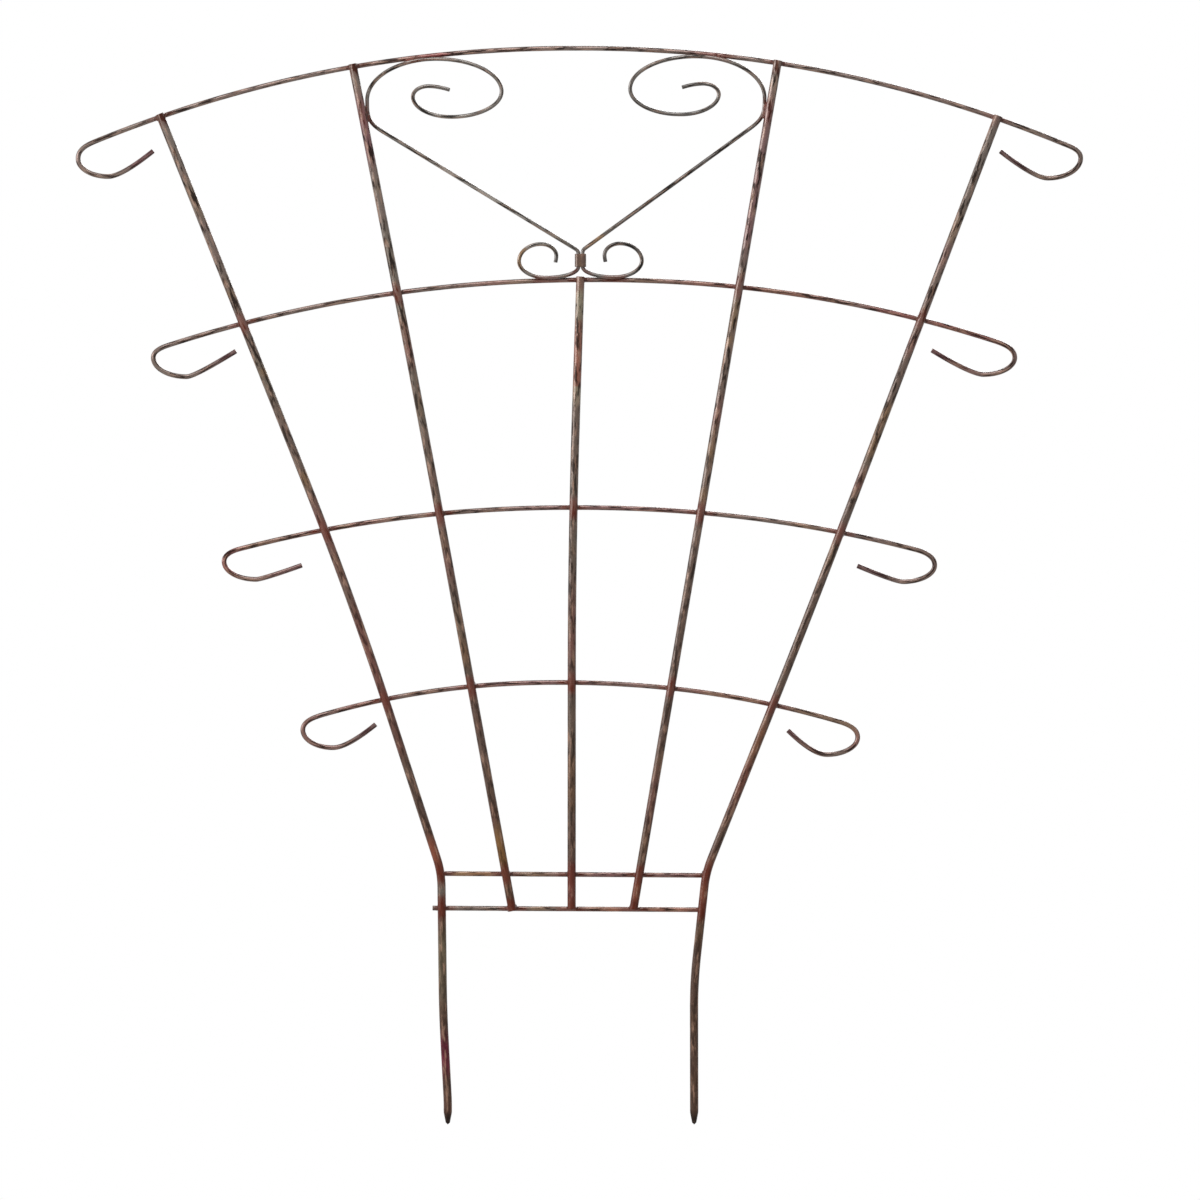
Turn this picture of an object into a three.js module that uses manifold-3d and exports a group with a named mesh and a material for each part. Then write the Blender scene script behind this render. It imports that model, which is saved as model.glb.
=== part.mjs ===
import * as THREE from "three";
import { mergeVertices } from "three/addons/utils/BufferGeometryUtils.js";
import Module from "manifold-3d";

// A welded wire fan trellis for climbing plants. Five uprights spread like a fan from two stakes, four arched
// wires with a hook at each end lie behind them, two short crossbars tie the foot, and a pair of scrolls
// fills the middle of the top row. Millimetres, +Z up, the front faces -Y, and the origin lies on the ground
// line midway between the stake ends. "across" is a place along X and "up" a place along Z.

// Rods and wires
const uprightDiameter = 9.5;
const archDiameter = 5.6;
const crossbarDiameter = 5.6;
const scrollDiameter = 4.5;
const contactGap = 0.3; // left between pieces that touch, and filled by the weld beads beside it
const uprightSides = 12;
const wireSides = 10;
const scrollSides = 8;

// Arched wires, from the top of the fan down. Each falls from its apex to a shoulder on either side, and
// there the hook begins. archFlatness is the exponent of the fall: 2 would be a parabola.
const archFlatness = 2.1;
const arches = {
  top_arch: {
    apexAcross: 7, apexUp: 1216.2, leftReach: 539, leftFall: 103, rightReach: 545.5, rightFall: 106.3,
  },
  second_arch: {
    apexAcross: 27, apexUp: 954.5, leftReach: 474.5, leftFall: 71.5, rightReach: 446.5, rightFall: 67.5,
  },
  third_arch: {
    apexAcross: 4, apexUp: 697.2, leftReach: 378, leftFall: 46.7, rightReach: 384.5, rightFall: 47.3,
  },
  fourth_arch: {
    apexAcross: -14, apexUp: 499.5, leftReach: 264, leftFall: 35.7, rightReach: 316, rightFall: 44,
  },
};

// Hooks, bent by hand and so no two alike. The wire runs out by reach while it sinks, turns back by back
// while it drops, stays level for a moment, and its tail comes in towards the fan while it rises to its end.
const hooks = {
  top_arch: {
    left: { reach: 25, sink: 22, back: 34, drop: 20, level: 15, tail: 51, rise: 29 },
    right: { reach: 23.5, sink: 18, back: 37, drop: 22.5, level: 15, tail: 54, rise: 30.5 },
  },
  second_arch: {
    left: { reach: 24.5, sink: 16.5, back: 37.5, drop: 21.5, level: 9, tail: 56, rise: 29 },
    right: { reach: 28, sink: 20.5, back: 35, drop: 19, level: 14, tail: 59, rise: 27.5 },
  },
  third_arch: {
    left: { reach: 18, sink: 14.5, back: 36, drop: 20, level: 7, tail: 52, rise: 16 },
    right: { reach: 22.5, sink: 18, back: 35.5, drop: 18.5, level: 9, tail: 52, rise: 18 },
  },
  fourth_arch: {
    left: { reach: 25, sink: 18, back: 34, drop: 20, level: 16, tail: 48.5, rise: 26.5 },
    right: { reach: 22, sink: 18, back: 35, drop: 19.5, level: 16, tail: 44, rise: 27.5 },
  },
};

// Crossbars behind the foot of the fan, each with its height at either side and how far it passes the legs
const crossbars = {
  upper_crossbar: { leftUp: 283.6, rightUp: 281.5, leftOverhang: 2, rightOverhang: 4 },
  lower_crossbar: { leftUp: 244.6, rightUp: 242.7, leftOverhang: 10.5, rightOverhang: 1.5 },
};

// Uprights. Each has the place of its top end across, the gentle bow at its middle, and its lower end. The
// outer two bend at a knee into the legs, and an ankle straightens each leg for its stake.
const uprightStub = 4; // how far an upright rises past the middle of the arch that it ends on
const bowBend = 150; // rod on each side of the middle that takes up the bow
const kneeBend = 16;
const ankleBend = 30;
const innerUprights = {
  left_inner_upright: {
    endsOn: "top_arch", topAcross: -247, bowAcross: -172.3, bowUp: 819, lowAcross: -66, trim: 3,
  },
  centre_upright: {
    endsOn: "second_arch", topAcross: 10.7, bowAcross: 1, bowUp: 660, lowAcross: 0.7, trim: 0.5,
  },
  right_inner_upright: {
    endsOn: "top_arch", topAcross: 234, bowAcross: 149, bowUp: 706, lowAcross: 70.5, trim: 0.5,
  },
};
const outerUprights = {
  left_outer_upright: {
    topAcross: -465, bowAcross: -246.6, bowUp: 593, kneeAcross: -146.5, kneeUp: 285,
    ankleAcross: -144.6, ankleUp: 129, stakeAcross: -139.2,
  },
  right_outer_upright: {
    topAcross: 483, bowAcross: 275.7, bowUp: 593, kneeAcross: 152.6, kneeUp: 285,
    ankleAcross: 139, ankleUp: 161, stakeAcross: 139.2,
  },
};

// Stakes: the last stretch of each leg stands upright and is drawn down to a blunt point
const stakeStraight = 26;
const stakePoint = 14;
const stakeFlatDiameter = 4;

// Scrolls. A big spiral hangs under the top arch against an inner upright, a straight run crosses down to the
// collar, and a small curl turns out again on the second arch.
const seatAngle = THREE.MathUtils.degToRad(50.5); // how far in front of its arch a scroll lies
const spiralWidth = 152;
const spiralHeight = 65.5;
const curlWidth = 67;
const curlHeight = 38;
const runBend = 3.5; // wire on each side of the turn from the straight run into the collar
const collarHeight = 15;
const collarWall = 1.5;
const collarRise = 12; // from the bottom of the curls to the collar
const collarCornerRadius = 2.4;

// The points where the spiral is level or plumb, as shares of its width, from the upright inwards, and height
const spiralShares = {
  leave: [0.12, -0.26],
  outside: [0, 0.29],
  crown: [0.515, 1],
  inside: [1, 0.44],
  base: [0.625, 0],
  eyeOutside: [0.34, 0.35],
  eyeCrown: [0.455, 0.53],
  tip: [0.615, 0.465],
};
// The same for the curl, from the collar outwards
const curlShares = {
  base: [0.54, 0],
  outside: [1, 0.487],
  crown: [0.63, 1],
  inside: [0.37, 0.65],
  tip: [0.385, 0.45],
};

// Weld beads: half their length along the wire, half their height and half their depth
const crossingBead = { length: 8, height: 5.5, depth: 3.6 };
const seatBead = { length: 9, height: 3, depth: 3 };

// Steps along each stretch of a wire
const spanSteps = 16;
const turnSteps = 5;
const bendSteps = 3;
const beadDetail = 1; // how often each face of an octahedron is split for a weld bead
const crossingPasses = 12; // rounds of narrowing down where two wires cross
const seatPasses = 6; // rounds of sliding a scroll against what it touches

// Share of a quarter turn's width and height that its handles take, so that the turn is round
const roundShare = 0.5523;

const uprightRadius = uprightDiameter / 2;
const archRadius = archDiameter / 2;
const crossbarRadius = crossbarDiameter / 2;
const scrollRadius = scrollDiameter / 2;

// Planes: the uprights stand in front, arches and crossbars lie behind them, and the scrolls lie between
const uprightDepth = 0;
const archDepth = uprightDepth + uprightRadius + contactGap + archRadius;
const crossbarDepth = uprightDepth + uprightRadius + contactGap + crossbarRadius;
const seatReach = archRadius + contactGap + scrollRadius;
const scrollDepth = archDepth - seatReach * Math.sin(seatAngle);
const seatDistance = seatReach * Math.cos(seatAngle);
const sideReach = uprightRadius + contactGap + scrollRadius;
const sideDistance = Math.sqrt(sideReach ** 2 - (scrollDepth - uprightDepth) ** 2);

const coats = {
  upright: new THREE.MeshStandardMaterial({ color: 0x6b4a3b, roughness: 0.48, metalness: 0.35 }),
  arch: new THREE.MeshStandardMaterial({ color: 0x70493b, roughness: 0.46, metalness: 0.35 }),
  crossbar: new THREE.MeshStandardMaterial({ color: 0x6a4538, roughness: 0.48, metalness: 0.35 }),
  scroll: new THREE.MeshStandardMaterial({ color: 0x4c443d, roughness: 0.5, metalness: 0.35 }),
  collar: new THREE.MeshStandardMaterial({ color: 0x5b4237, roughness: 0.5, metalness: 0.35 }),
  weld: new THREE.MeshStandardMaterial({ color: 0x5c2f24, roughness: 0.6, metalness: 0.25 }),
};

// What a piece is cut from, and the plane that it lies in
const uprightStock = {
  depth: uprightDepth, radius: uprightRadius, sides: uprightSides, coat: coats.upright,
};
const archStock = { depth: archDepth, radius: archRadius, sides: wireSides, coat: coats.arch };
const crossbarStock = {
  depth: crossbarDepth, radius: crossbarRadius, sides: wireSides, coat: coats.crossbar,
};
const scrollStock = { depth: scrollDepth, radius: scrollRadius, sides: scrollSides, coat: coats.scroll };

const wasm = await Module();
wasm.setup();

// Wire paths

function place(across, up) {
  return new THREE.Vector2(across, up);
}

// A straight run, a bend round a corner or a turn with two handles, after the number of its points
function curveThrough(points) {
  if (points.length === 2) {
    return new THREE.LineCurve(...points);
  }
  if (points.length === 3) {
    return new THREE.QuadraticBezierCurve(...points);
  }
  return new THREE.CubicBezierCurve(...points);
}

// A quarter turn between a plumb tangent and a level one
function quarterTurn(plumbEnd, levelEnd) {
  const plumbHandle = place(plumbEnd.x, THREE.MathUtils.lerp(plumbEnd.y, levelEnd.y, roundShare));
  const levelHandle = place(THREE.MathUtils.lerp(levelEnd.x, plumbEnd.x, roundShare), levelEnd.y);
  return [plumbEnd, plumbHandle, levelHandle, levelEnd];
}

function stationsAlong(curve, steps) {
  return Array.from({ length: steps + 1 }, (_, index) => ({
    at: curve.getPoint(index / steps),
    along: curve.getTangent(index / steps),
  }));
}

function turnedRound(stations) {
  return stations.toReversed().map(({ at, along }) => ({ at, along: along.clone().negate() }));
}

// Joins stretches that follow each other, and keeps one station where two of them meet
function joined(stretches) {
  return stretches.flatMap((stations, index) => (index === 0 ? stations : stations.slice(1)));
}

// A rod through corners, each corner but the ends rounded by its own bend
function bentRod(corners) {
  const stretches = [];
  let from = corners[0].at;
  for (let index = 1; index < corners.length - 1; index += 1) {
    const { at, bend } = corners[index];
    const next = corners[index + 1].at;
    const before = from.clone().sub(at).setLength(bend).add(at);
    const after = next.clone().sub(at).setLength(bend).add(at);
    stretches.push(stationsAlong(curveThrough([from, before]), 1));
    stretches.push(stationsAlong(curveThrough([before, at, after]), bendSteps));
    from = after;
  }
  stretches.push(stationsAlong(curveThrough([from, corners.at(-1).at]), 1));
  return joined(stretches);
}

// The path in space: every station of a flat wire at one depth, visited once each
class WirePath extends THREE.Curve {
  constructor(stations, depth) {
    super();
    this.points = stations.map(({ at }) => new THREE.Vector3(at.x, depth, at.y));
    this.tangents = stations.map(({ along }) => new THREE.Vector3(along.x, 0, along.y).normalize());
  }

  get steps() {
    return this.points.length - 1;
  }

  getPointAt(share) {
    return this.points[Math.round(share * this.steps)].clone();
  }

  getTangentAt(share) {
    return this.tangents[Math.round(share * this.steps)].clone();
  }
}

function roundSection(radius, sides) {
  const corners = Array.from({ length: sides }, (_, index) => {
    const angle = (index * 2 * Math.PI) / sides;
    return place(radius * Math.cos(angle), radius * Math.sin(angle));
  });
  return new THREE.Shape(corners);
}

function sweep(wire, extra = 0) {
  const path = new WirePath(wire.stations, wire.depth);
  const section = roundSection(wire.radius + extra, wire.sides);
  return new THREE.ExtrudeGeometry(section, { steps: path.steps, extrudePath: path });
}

// Places on a wire. Each looks between the two stations that the value falls between, or past the nearer end.

function between(stations, value, key, other) {
  const passes = (index) => (stations[index - 1].at[key] - value) * (stations[index].at[key] - value) <= 0;
  const last = stations.length - 1;
  const [toFirst, toLast] = [stations[0], stations[last]].map(({ at }) => Math.abs(at[key] - value));
  const nearerEnd = toFirst < toLast ? 1 : last;
  const found = stations.findIndex((_, index) => index > 0 && passes(index));
  const index = found > 0 ? found : nearerEnd;
  const from = stations[index - 1].at;
  const to = stations[index].at;
  const slope = (to[other] - from[other]) / (to[key] - from[key]);
  return { value: from[other] + slope * (value - from[key]), slope };
}

function upOn(wire, across) {
  return between(wire.span ?? wire.stations, across, "x", "y");
}

function acrossOn(wire, up) {
  return between(wire.stations, up, "y", "x");
}

// Where an upright and a wire behind it cross, seen from the front
function crossing(upright, wire) {
  let across = acrossOn(upright, upOn(wire, 0).value).value;
  for (let pass = 0; pass < crossingPasses; pass += 1) {
    across = acrossOn(upright, upOn(wire, across).value).value;
  }
  const { value: up, slope } = upOn(wire, across);
  return { across, up, slope };
}

// Arches

class ArchSpan extends THREE.Curve {
  constructor(arch) {
    super();
    this.arch = arch;
  }

  getPoint(share) {
    const { apexAcross, apexUp, leftReach, leftFall, rightReach, rightFall } = this.arch;
    const offset = THREE.MathUtils.lerp(-leftReach, rightReach, share);
    const [reach, fall] = offset < 0 ? [leftReach, leftFall] : [rightReach, rightFall];
    return place(apexAcross + offset, apexUp - fall * Math.abs(offset / reach) ** archFlatness);
  }
}

// From the shoulder outwards: over to the outside of the hook, round below, and back up along the tail
function hookStations(shoulder, outward, side, { reach, sink, back, drop, level, tail, rise }) {
  const outside = place(shoulder.x + side * reach, shoulder.y - sink);
  const bottom = place(outside.x - side * back, outside.y - drop);
  const tip = place(bottom.x - side * tail, bottom.y + rise);
  const shoulderHandle = outward.clone().setLength(reach * roundShare).add(shoulder);
  const outsideHandle = place(outside.x, outside.y + sink * roundShare);
  const tailHandle = place(bottom.x - side * level, bottom.y);
  return joined([
    stationsAlong(curveThrough([shoulder, shoulderHandle, outsideHandle, outside]), turnSteps),
    stationsAlong(curveThrough(quarterTurn(outside, bottom)), turnSteps),
    stationsAlong(curveThrough([bottom, tailHandle, tip]), turnSteps),
  ]);
}

function makeArch(name) {
  const span = stationsAlong(new ArchSpan(arches[name]), spanSteps);
  const first = span[0];
  const last = span.at(-1);
  const left = hookStations(first.at, first.along.clone().negate(), -1, hooks[name].left);
  const right = hookStations(last.at, last.along, 1, hooks[name].right);
  const stations = joined([turnedRound(left), span, right]);
  return { name, span, stations, ...archStock };
}

// Uprights

function makeOuterUpright(name, arch) {
  const size = outerUprights[name];
  const topUp = upOn(arch, size.topAcross).value + uprightStub;
  const stations = bentRod([
    { at: place(size.topAcross, topUp) },
    { at: place(size.bowAcross, size.bowUp), bend: bowBend },
    { at: place(size.kneeAcross, size.kneeUp), bend: kneeBend },
    { at: place(size.ankleAcross, size.ankleUp), bend: ankleBend },
    { at: place(size.stakeAcross, stakeStraight), bend: (stakeStraight - stakePoint) / 2 },
    { at: place(size.stakeAcross, stakePoint) },
  ]);
  return { name, stations, ...uprightStock };
}

function makeInnerUpright(name, wires) {
  const size = innerUprights[name];
  const topUp = upOn(wires[size.endsOn], size.topAcross).value + uprightStub;
  const lowUp = upOn(wires.lower_crossbar, size.lowAcross).value - size.trim;
  const stations = bentRod([
    { at: place(size.topAcross, topUp) },
    { at: place(size.bowAcross, size.bowUp), bend: bowBend },
    { at: place(size.lowAcross, lowUp) },
  ]);
  return { name, stations, ...uprightStock };
}

function makeCrossbar(name, leftLeg, rightLeg) {
  const { leftUp, rightUp, leftOverhang, rightOverhang } = crossbars[name];
  const leftEnd = place(acrossOn(leftLeg, leftUp).value - leftOverhang, leftUp);
  const rightEnd = place(acrossOn(rightLeg, rightUp).value + rightOverhang, rightUp);
  const stations = stationsAlong(curveThrough([leftEnd, rightEnd]), 1);
  return { name, stations, ...crossbarStock };
}

// Scrolls

// The points of a table of shares, each put in its place
function placedBy(puts, table) {
  return Object.fromEntries(Object.entries(table).map(([key, shares]) => [key, puts(shares)]));
}

// The stretches of one scroll. side is -1 for the left one. spiralEdge is the outside of the spiral across,
// spiralTop its highest place, and curlLow the lowest place of the curl.
function scrollStretches(side, spiralEdge, spiralTop, curlLow) {
  const wireAcross = innerUprights.centre_upright.topAcross + side * (scrollRadius + contactGap / 2);
  const onSpiral = ([inwards, upwards]) =>
    place(spiralEdge - side * spiralWidth * inwards, spiralTop - spiralHeight * (1 - upwards));
  const onCurl = ([outwards, upwards]) =>
    place(wireAcross + side * curlWidth * outwards, curlLow + curlHeight * upwards);
  const big = placedBy(onSpiral, spiralShares);
  const small = placedBy(onCurl, curlShares);
  const collarLow = place(wireAcross, curlLow + collarRise);
  const collarHigh = place(wireAcross, collarLow.y + collarHeight);
  const corner = place(wireAcross, collarHigh.y + runBend);
  const run = corner.clone().sub(big.leave);
  const runEnd = corner.clone().sub(run.clone().setLength(runBend));
  const leaveLength = roundShare * (big.outside.y - big.leave.y);
  const leaveHandle = big.leave.clone().sub(run.clone().setLength(leaveLength));
  const outsideHandle = place(big.outside.x, THREE.MathUtils.lerp(big.outside.y, big.leave.y, roundShare));
  const tipHandle = place(THREE.MathUtils.lerp(big.tip.x, big.eyeCrown.x, roundShare), big.eyeCrown.y);
  return {
    spiral: joined([
      stationsAlong(curveThrough([big.tip, tipHandle, big.eyeCrown]), bendSteps),
      turnedRound(stationsAlong(curveThrough(quarterTurn(big.eyeOutside, big.eyeCrown)), bendSteps)),
      stationsAlong(curveThrough(quarterTurn(big.eyeOutside, big.base)), turnSteps),
      turnedRound(stationsAlong(curveThrough(quarterTurn(big.inside, big.base)), turnSteps)),
      stationsAlong(curveThrough(quarterTurn(big.inside, big.crown)), turnSteps),
      turnedRound(stationsAlong(curveThrough(quarterTurn(big.outside, big.crown)), turnSteps)),
      stationsAlong(curveThrough([big.outside, outsideHandle, leaveHandle, big.leave]), bendSteps),
    ]),
    middle: joined([
      stationsAlong(curveThrough([big.leave, runEnd]), 1),
      stationsAlong(curveThrough([runEnd, corner, collarHigh]), bendSteps),
      stationsAlong(curveThrough([collarHigh, collarLow]), 1),
    ]),
    curl: joined([
      stationsAlong(curveThrough(quarterTurn(collarLow, small.base)), turnSteps),
      turnedRound(stationsAlong(curveThrough(quarterTurn(small.outside, small.base)), turnSteps)),
      stationsAlong(curveThrough(quarterTurn(small.outside, small.crown)), turnSteps),
      turnedRound(stationsAlong(curveThrough(quarterTurn(small.inside, small.crown)), bendSteps)),
      stationsAlong(curveThrough([small.inside, small.tip]), 1),
    ]),
  };
}

// How far the nearest station of a stretch lies below (or, with sense -1, above) a wire
function leastDrop(stations, wire, sense) {
  return Math.min(...stations.map(({ at }) => {
    const { value, slope } = upOn(wire, at.x);
    return (sense * (value - at.y)) / Math.hypot(1, slope);
  }));
}

// How far the nearest station of a stretch stands inwards of an upright
function leastStandoff(stations, upright, side) {
  return Math.min(...stations.map(({ at }) => {
    const { value, slope } = acrossOn(upright, at.y);
    return (side * (value - at.x)) / Math.hypot(1, slope);
  }));
}

// Slides the spiral out to its upright and up to the top arch, and the curl down to the second arch
function makeScroll(name, side, upright, topArch, secondArch) {
  let spiralEdge = acrossOn(upright, topArch.stations[0].at.y).value - side * sideDistance;
  let spiralTop = upOn(topArch, spiralEdge).value;
  let curlLow = upOn(secondArch, 0).value + seatDistance;
  let stretches = scrollStretches(side, spiralEdge, spiralTop, curlLow);
  for (let pass = 0; pass < seatPasses; pass += 1) {
    spiralEdge += side * (leastStandoff(stretches.spiral, upright, side) - sideDistance);
    spiralTop += leastDrop(stretches.spiral, topArch, 1) - seatDistance;
    curlLow -= leastDrop(stretches.curl, secondArch, -1) - seatDistance;
    stretches = scrollStretches(side, spiralEdge, spiralTop, curlLow);
  }
  const stations = joined([stretches.spiral, stretches.middle, stretches.curl]);
  return { name, stretches, stations, ...scrollStock };
}

// Flat band closed round both scroll wires
function makeCollar(scroll) {
  const [high, low] = [scroll.stretches.middle.at(-2).at, scroll.stretches.middle.at(-1).at];
  const insideWidth = 2 * scrollDiameter + 3 * contactGap;
  const insideDepth = scrollDiameter + 2 * contactGap;
  const outsideWidth = insideWidth + 2 * collarWall;
  const outsideDepth = insideDepth + 2 * collarWall;
  const outsideCorner = collarCornerRadius + collarWall;
  const outline = roundedRectangle(new THREE.Shape(), outsideWidth, outsideDepth, outsideCorner);
  outline.holes.push(roundedRectangle(new THREE.Path(), insideWidth, insideDepth, collarCornerRadius));
  const geometry = new THREE.ExtrudeGeometry(outline, {
    depth: high.y - low.y, bevelEnabled: false, curveSegments: bendSteps,
  });
  const mesh = new THREE.Mesh(geometry, coats.collar);
  mesh.name = "scroll_collar";
  mesh.position.set(innerUprights.centre_upright.topAcross, scrollDepth, low.y);
  return mesh;
}

function roundedRectangle(path, width, depth, wantedRadius) {
  const radius = Math.min(wantedRadius, depth / 2);
  const [right, back] = [width / 2 - radius, depth / 2 - radius];
  path.absarc(right, back, radius, 0, Math.PI / 2);
  path.absarc(-right, back, radius, Math.PI / 2, Math.PI);
  path.absarc(-right, -back, radius, Math.PI, 1.5 * Math.PI);
  path.absarc(right, -back, radius, 1.5 * Math.PI, 2 * Math.PI);
  return path;
}

// Solids

function toSolid(geometry) {
  const bare = geometry.clone();
  bare.deleteAttribute("normal");
  bare.deleteAttribute("uv");
  const merged = mergeVertices(bare);
  const vertProperties = new Float32Array(merged.attributes.position.array);
  const triVerts = new Uint32Array(merged.index.array);
  return new wasm.Manifold(new wasm.Mesh({ numProp: 3, vertProperties, triVerts }));
}

function toGeometry(solid) {
  const { vertProperties, triVerts } = solid.getMesh();
  const geometry = new THREE.BufferGeometry();
  geometry.setAttribute("position", new THREE.BufferAttribute(vertProperties, 3));
  geometry.setIndex(new THREE.BufferAttribute(triVerts, 1));
  geometry.computeVertexNormals();
  return geometry;
}

function wireMesh(wire) {
  const mesh = new THREE.Mesh(sweep(wire), wire.coat);
  mesh.name = wire.name;
  return mesh;
}

// An outer upright with its stake drawn down to a blunt point
function stakedMesh(upright) {
  const point = new THREE.CylinderGeometry(uprightRadius, stakeFlatDiameter / 2, stakePoint, uprightSides);
  point.rotateX(Math.PI / 2);
  point.translate(upright.stations.at(-1).at.x, uprightDepth, stakePoint / 2);
  const mesh = new THREE.Mesh(toGeometry(toSolid(sweep(upright)).add(toSolid(point))), upright.coat);
  mesh.name = upright.name;
  return mesh;
}

// Welds

// What is left of a bead once every wire near it is cut away. Round a crossing that is often a closed ring.
function beadMesh(name, bead, centre, turn, cutters) {
  const blob = new THREE.OctahedronGeometry(1, beadDetail);
  blob.scale(bead.length, bead.depth, bead.height);
  blob.applyQuaternion(turn);
  blob.translate(centre.x, centre.y, centre.z);
  const left = cutters.reduce((solid, cutter) => solid.subtract(cutter), toSolid(blob));
  const largest = left.decompose().reduce((best, body) => (body.volume() > best.volume() ? body : best));
  const mesh = new THREE.Mesh(toGeometry(largest), coats.weld);
  mesh.name = name;
  return mesh;
}

function crossingWeld(upright, wire, cutters) {
  const { across, up, slope } = crossing(upright, wire);
  const centre = new THREE.Vector3(across, uprightDepth + uprightRadius + contactGap / 2, up);
  const turn = new THREE.Quaternion().setFromAxisAngle(new THREE.Vector3(0, -1, 0), Math.atan(slope));
  const name = `weld_${wire.name}_${upright.name.replace("_upright", "")}`;
  return beadMesh(name, crossingBead, centre, turn, cutters);
}

// The pair of stations, one on each wire, that lie nearest to each other
function nearestPair(stations, depth, other) {
  let best = { distance: Infinity };
  for (const { at, along } of stations) {
    const { foot, distance } = nearestFoot(at, other.stations);
    if (distance < best.distance) {
      best = { distance, at, along, foot };
    }
  }
  return {
    along: new THREE.Vector3(best.along.x, 0, best.along.y).normalize(),
    near: new THREE.Vector3(best.at.x, depth, best.at.y),
    far: new THREE.Vector3(best.foot.x, other.depth, best.foot.y),
  };
}

function nearestFoot(point, stations) {
  let best = { distance: Infinity };
  for (let index = 1; index < stations.length; index += 1) {
    const from = stations[index - 1].at;
    const run = stations[index].at.clone().sub(from);
    const share = THREE.MathUtils.clamp(point.clone().sub(from).dot(run) / run.lengthSq(), 0, 1);
    const foot = run.multiplyScalar(share).add(from);
    const distance = foot.distanceTo(point);
    if (distance < best.distance) {
      best = { distance, foot };
    }
  }
  return best;
}

// A bead in the front groove between a scroll and the wire or upright that it lies against
function seatWeld(scroll, stretch, other, cutters) {
  const { along, near, far } = nearestPair(scroll.stretches[stretch], scroll.depth, other);
  const towards = far.clone().sub(near);
  const touch = near.clone().add(towards.clone().setLength(scroll.radius + contactGap / 2));
  const groove = new THREE.Vector3().crossVectors(along, towards).normalize();
  if (groove.y > 0) {
    groove.negate();
  }
  const centre = touch.add(groove.clone().multiplyScalar(scroll.radius));
  const basis = new THREE.Matrix4().makeBasis(along, groove, new THREE.Vector3().crossVectors(along, groove));
  const turn = new THREE.Quaternion().setFromRotationMatrix(basis);
  return beadMesh(`weld_${scroll.name}_${other.name}`, seatBead, centre, turn, cutters);
}

// The whole trellis

const wires = {};
for (const name of Object.keys(arches)) {
  wires[name] = makeArch(name);
}
for (const name of Object.keys(outerUprights)) {
  wires[name] = makeOuterUpright(name, wires.top_arch);
}
for (const name of Object.keys(crossbars)) {
  wires[name] = makeCrossbar(name, wires.left_outer_upright, wires.right_outer_upright);
}
for (const name of Object.keys(innerUprights)) {
  wires[name] = makeInnerUpright(name, wires);
}
const { top_arch: topArch, second_arch: secondArch } = wires;
wires.left_scroll = makeScroll("left_scroll", -1, wires.left_inner_upright, topArch, secondArch);
wires.right_scroll = makeScroll("right_scroll", 1, wires.right_inner_upright, topArch, secondArch);

const trellis = new THREE.Group();
for (const wire of Object.values(wires)) {
  trellis.add(wire.name in outerUprights ? stakedMesh(wire) : wireMesh(wire));
}
trellis.add(makeCollar(wires.left_scroll));

const cutters = Object.values(wires).map((wire) => toSolid(sweep(wire, contactGap)));
const uprights = [...Object.keys(innerUprights), ...Object.keys(outerUprights)].map((name) => wires[name]);
for (const wireName of [...Object.keys(arches), ...Object.keys(crossbars)]) {
  for (const upright of uprights) {
    if (wireName !== "top_arch" || upright.name !== "centre_upright") {
      trellis.add(crossingWeld(upright, wires[wireName], cutters));
    }
  }
}
for (const [scroll, upright] of [
  [wires.left_scroll, wires.left_inner_upright],
  [wires.right_scroll, wires.right_inner_upright],
]) {
  trellis.add(seatWeld(scroll, "spiral", upright, cutters));
  trellis.add(seatWeld(scroll, "spiral", topArch, cutters));
  trellis.add(seatWeld(scroll, "curl", secondArch, cutters));
}

export default trellis;
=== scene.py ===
import math

import bmesh
import bpy
import numpy as np
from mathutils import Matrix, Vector, noise


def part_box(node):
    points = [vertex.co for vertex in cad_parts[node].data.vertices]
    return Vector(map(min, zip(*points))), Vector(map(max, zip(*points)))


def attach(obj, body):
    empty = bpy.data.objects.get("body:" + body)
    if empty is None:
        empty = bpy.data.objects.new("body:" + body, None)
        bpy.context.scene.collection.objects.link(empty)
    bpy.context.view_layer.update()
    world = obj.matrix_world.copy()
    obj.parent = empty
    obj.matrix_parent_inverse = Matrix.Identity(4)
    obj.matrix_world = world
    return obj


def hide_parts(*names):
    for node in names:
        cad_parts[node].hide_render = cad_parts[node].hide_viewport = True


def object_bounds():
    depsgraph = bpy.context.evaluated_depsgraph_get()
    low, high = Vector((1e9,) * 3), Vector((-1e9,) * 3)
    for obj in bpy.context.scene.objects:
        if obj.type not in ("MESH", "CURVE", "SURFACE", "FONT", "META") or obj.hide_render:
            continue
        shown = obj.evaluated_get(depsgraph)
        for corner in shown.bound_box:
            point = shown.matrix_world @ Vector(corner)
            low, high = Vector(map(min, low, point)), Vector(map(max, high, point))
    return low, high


# A welded fan trellis in brown powder coat, dressed round its fixed model.
# Metres, +Z up, the front faces -Y.

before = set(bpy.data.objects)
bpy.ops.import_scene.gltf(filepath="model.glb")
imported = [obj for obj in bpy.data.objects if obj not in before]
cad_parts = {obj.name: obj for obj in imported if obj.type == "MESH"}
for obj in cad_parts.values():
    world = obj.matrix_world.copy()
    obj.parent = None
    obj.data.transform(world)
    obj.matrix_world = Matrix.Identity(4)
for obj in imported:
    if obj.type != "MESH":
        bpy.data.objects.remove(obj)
cadBox = [list(corner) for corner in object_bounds()]
print("Frame loaded with", len(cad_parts), "nodes")

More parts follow.
